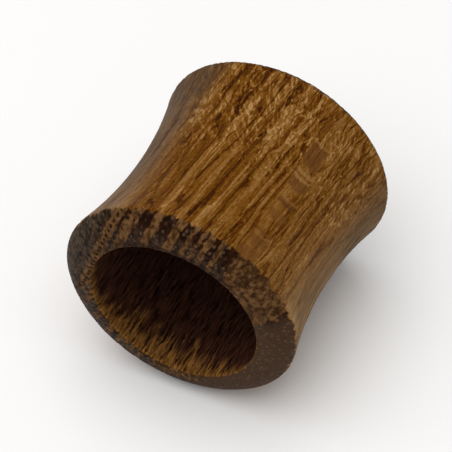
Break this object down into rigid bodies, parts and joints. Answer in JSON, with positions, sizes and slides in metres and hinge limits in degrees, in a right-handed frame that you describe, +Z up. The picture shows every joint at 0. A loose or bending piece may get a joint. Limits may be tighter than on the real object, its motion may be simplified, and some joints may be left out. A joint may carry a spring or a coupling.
{
  "type": "wooden flesh tunnel",
  "caption": "Double-flared hollow ear tunnel turned from one piece of banded brown wood, with a plain drilled hole and rounded end faces.",
  "frame": {"origin": "on the surface it lies on, under the middle of the tunnel", "axes": "+Y along the hole towards the square-cut end, the slightly leaning near end looks towards -Y, +Z up with both rims on the surface"},
  "size_m": [0.0157, 0.0159, 0.0157],
  "materials": {
    "wood": "oiled, fine sanded, open pores"
  },
  "bodies": {
    "root": {"tunnel": "wood"}
  },
  "joints": []
}
